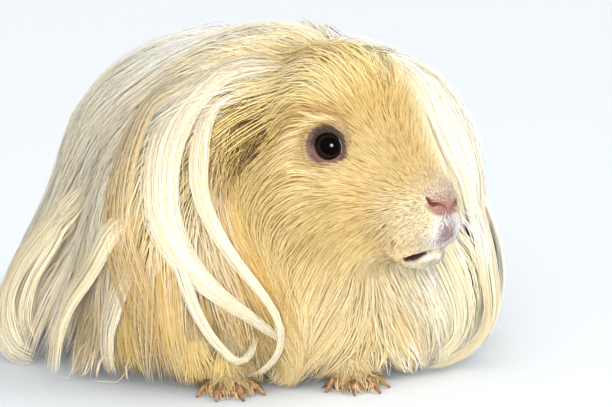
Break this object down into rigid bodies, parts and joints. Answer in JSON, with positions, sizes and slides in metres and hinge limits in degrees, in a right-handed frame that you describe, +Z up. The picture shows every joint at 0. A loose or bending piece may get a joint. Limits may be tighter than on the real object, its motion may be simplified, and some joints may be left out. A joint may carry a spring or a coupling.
{
  "type": "long-haired guinea pig",
  "caption": "Life-size still model of a sitting long-haired guinea pig with its head turned to its left and its coat falling to the floor all round.",
  "frame": {"origin": "on the floor under the middle of the animal's box", "axes": "+X the way the body faces, +Y the animal's left, +Z up"},
  "size_m": [0.2348, 0.1794, 0.1112],
  "materials": {
    "face_fur": "short golden buff hair",
    "coat": "long silky cream hair",
    "leg_fur": "short buff hair over pink skin",
    "bare_skin": "soft, thinly haired",
    "eye": "wet gloss",
    "claw": "translucent amber-brown horn"
  },
  "bodies": {
    "root": {"head": "face_fur", "lower_jaw": "face_fur", "neck": "coat", "trunk": "coat", "hindquarters": "coat", "ear_left": "bare_skin", "ear_right": "bare_skin", "eye_left": "eye", "eye_right": "eye", "foreleg_left": "leg_fur", "foreleg_right": "leg_fur", "hindleg_left": "leg_fur", "hindleg_right": "leg_fur", "claw_forefoot_left_1": "claw", "claw_forefoot_left_2": "claw", "claw_forefoot_left_3": "claw", "claw_forefoot_left_4": "claw", "claw_forefoot_right_1": "claw", "claw_forefoot_right_2": "claw", "claw_forefoot_right_3": "claw", "claw_forefoot_right_4": "claw", "claw_hindfoot_left_1": "claw", "claw_hindfoot_left_2": "claw", "claw_hindfoot_left_3": "claw", "claw_hindfoot_right_1": "claw", "claw_hindfoot_right_2": "claw", "claw_hindfoot_right_3": "claw"}
  },
  "joints": []
}
